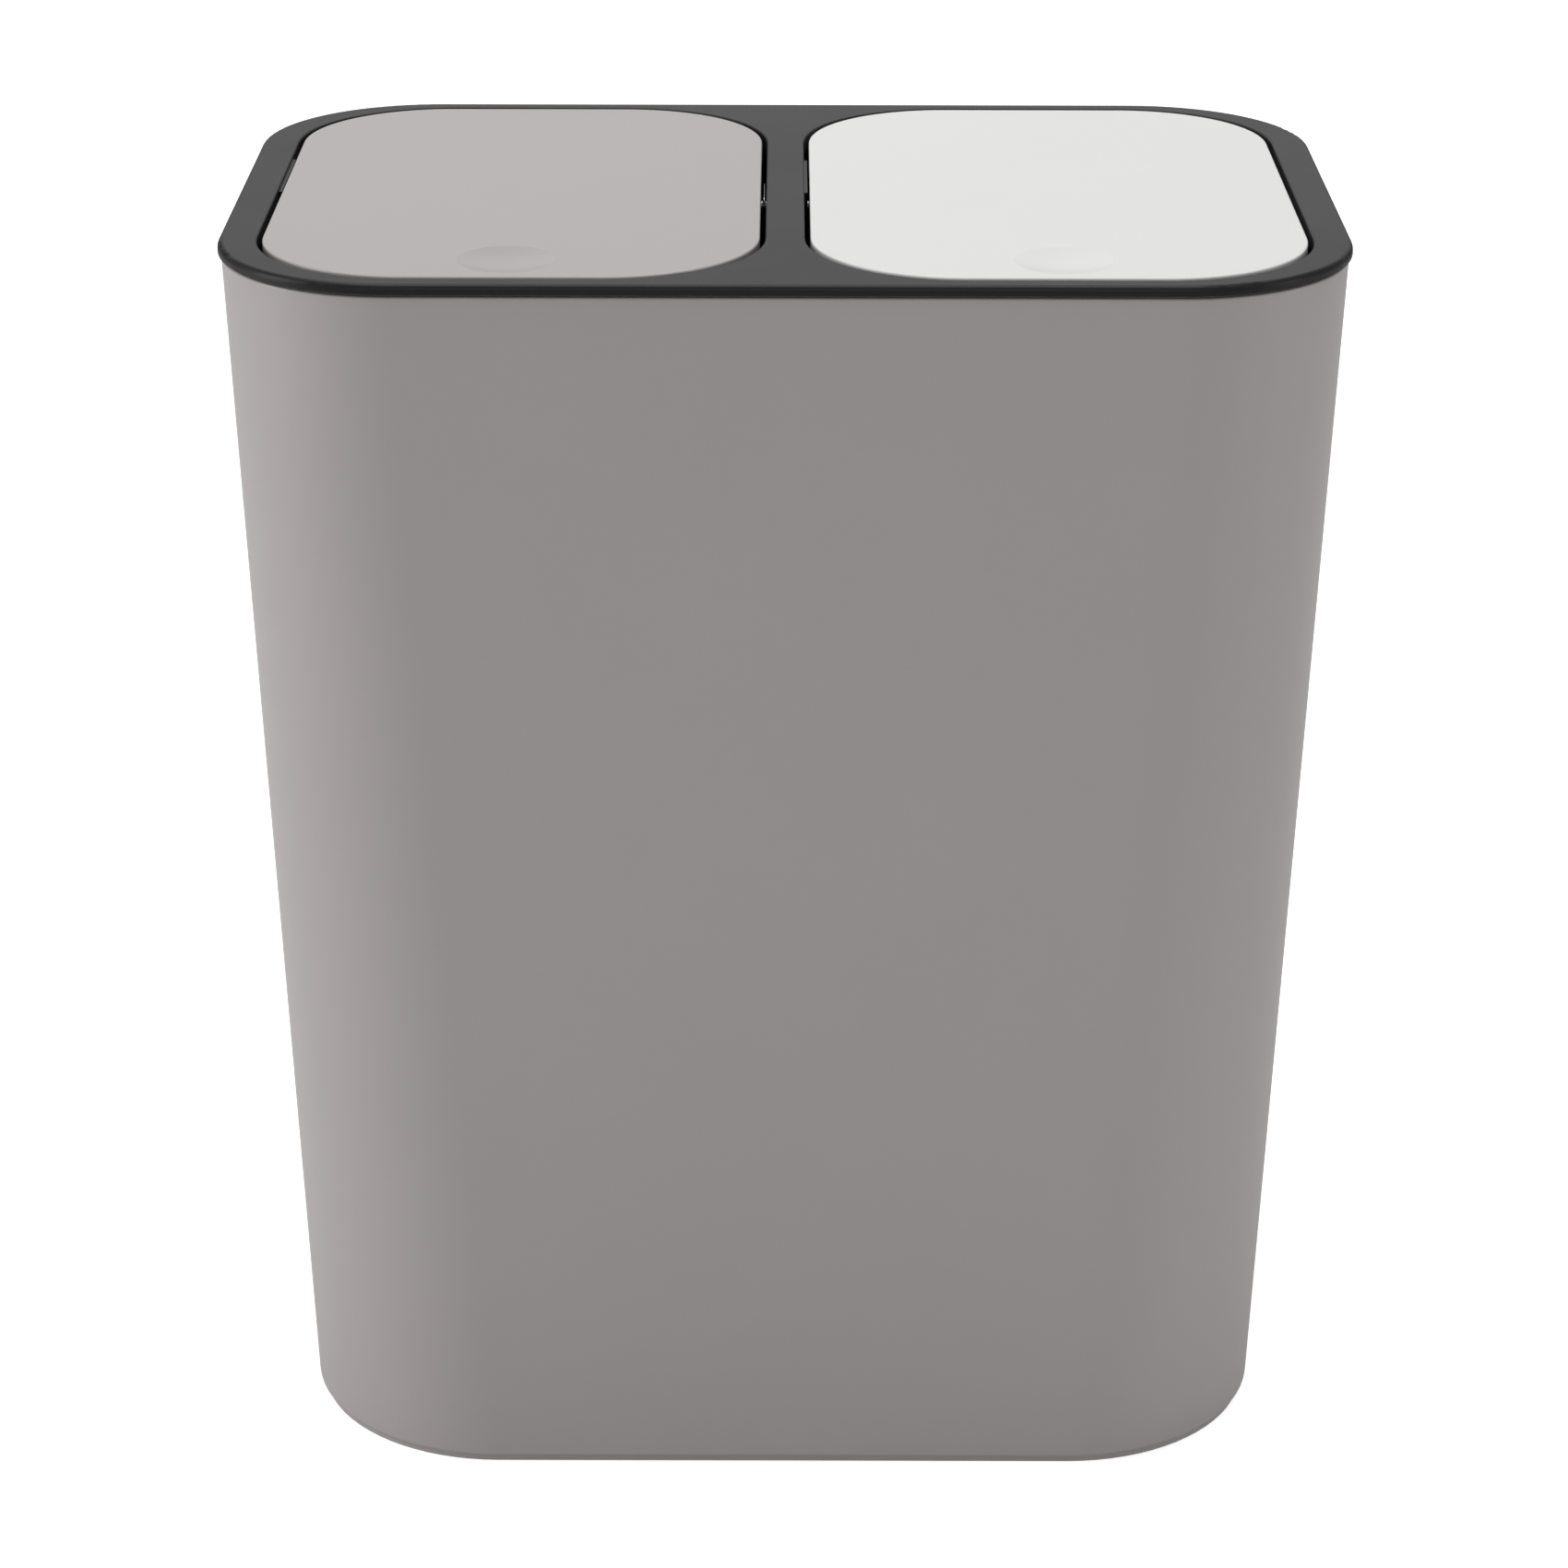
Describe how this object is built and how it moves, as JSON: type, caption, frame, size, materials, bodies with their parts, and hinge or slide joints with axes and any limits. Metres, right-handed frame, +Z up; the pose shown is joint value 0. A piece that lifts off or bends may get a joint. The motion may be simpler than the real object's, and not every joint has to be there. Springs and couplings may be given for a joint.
{
  "type": "double recycling bin",
  "caption": "Tall tapered floor bin with two compartments: two push-to-open lids in one lift-off frame, each over its own lift-out liner.",
  "frame": {"origin": "middle of the foot, on the floor", "axes": "+Z up, +X to the right across both lids, -Y is the front with the lids' finger dimples"},
  "size_m": [0.3, 0.198, 0.3531],
  "materials": {
    "body_plastic": "satin moulded plastic, warm taupe grey",
    "frame_plastic": "fine matte moulded plastic, charcoal",
    "taupe_lid_plastic": "satin moulded plastic, taupe grey",
    "white_lid_plastic": "satin moulded plastic, white",
    "liner_plastic": "matte moulded plastic, dark grey",
    "handle_plastic": "matte moulded plastic, black",
    "latch_plastic": "matte moulded plastic, black",
    "striker_plastic": "smooth natural white plastic",
    "steel": "plain drawn steel",
    "spring_steel": "bright spring wire"
  },
  "bodies": {
    "bin_body": {"outer_body": "body_plastic"},
    "lid_frame": {"lid_frame": "frame_plastic", "left_lid_spring": "spring_steel", "left_latch_housing": "latch_plastic", "left_latch_spring": "spring_steel", "left_cam_pin": "steel", "left_latch_screws": "steel", "right_lid_spring": "spring_steel", "right_latch_housing": "latch_plastic", "right_latch_spring": "spring_steel", "right_cam_pin": "steel", "right_latch_screws": "steel"},
    "left_lid": {"left_lid": "taupe_lid_plastic", "left_striker": "striker_plastic", "left_lid_left_pin": "steel", "left_lid_right_pin": "steel"},
    "left_latch_slider": {"left_latch_slider": "striker_plastic"},
    "left_liner": {"left_liner": "liner_plastic"},
    "left_liner_handle": {"left_liner_handle": "handle_plastic"},
    "right_lid": {"right_lid": "white_lid_plastic", "right_striker": "striker_plastic", "right_lid_left_pin": "steel", "right_lid_right_pin": "steel"},
    "right_latch_slider": {"right_latch_slider": "striker_plastic"},
    "right_liner": {"right_liner": "liner_plastic"},
    "right_liner_handle": {"right_liner_handle": "handle_plastic"}
  },
  "joints": [
    {"name": "frame_lift", "type": "slide", "parent": "bin_body", "child": "lid_frame", "axis": [0, 0, 1], "range_m": [0, 0.7]},
    {"name": "left_lid_hinge", "type": "hinge", "parent": "lid_frame", "child": "left_lid", "pos_m": [-0.0724, 0.0164, 0.3435], "axis": [-1, 0, 0], "range_deg": [-1, 80]},
    {"name": "left_latch_press", "type": "slide", "parent": "lid_frame", "child": "left_latch_slider", "axis": [0, 0, 1], "range_m": [-0.0018, 0.003], "stiffness_N_per_m": 400},
    {"name": "left_liner_lift", "type": "slide", "parent": "bin_body", "child": "left_liner", "axis": [0, 0, 1], "range_m": [0, 0.352]},
    {"name": "left_handle_swing", "type": "hinge", "parent": "left_liner", "child": "left_liner_handle", "pos_m": [-0.0724, 0, 0.3321], "axis": [-1, 0, 0], "range_deg": [0, 90]},
    {"name": "right_lid_hinge", "type": "hinge", "parent": "lid_frame", "child": "right_lid", "pos_m": [0.0724, 0.0164, 0.3435], "axis": [-1, 0, 0], "range_deg": [-1, 80]},
    {"name": "right_latch_press", "type": "slide", "parent": "lid_frame", "child": "right_latch_slider", "axis": [0, 0, 1], "range_m": [-0.0018, 0.003], "stiffness_N_per_m": 400},
    {"name": "right_liner_lift", "type": "slide", "parent": "bin_body", "child": "right_liner", "axis": [0, 0, 1], "range_m": [0, 0.352]},
    {"name": "right_handle_swing", "type": "hinge", "parent": "right_liner", "child": "right_liner_handle", "pos_m": [0.0724, 0, 0.3321], "axis": [-1, 0, 0], "range_deg": [0, 90]}
  ],
  "couplings": [
    {"joint": "left_liner_lift", "follows": "frame_lift", "ratio": 0.5},
    {"joint": "left_handle_swing", "follows": "frame_lift", "rad_per_m": 2.24},
    {"joint": "right_liner_lift", "follows": "frame_lift", "ratio": 0.5},
    {"joint": "right_handle_swing", "follows": "frame_lift", "rad_per_m": 2.24}
  ]
}
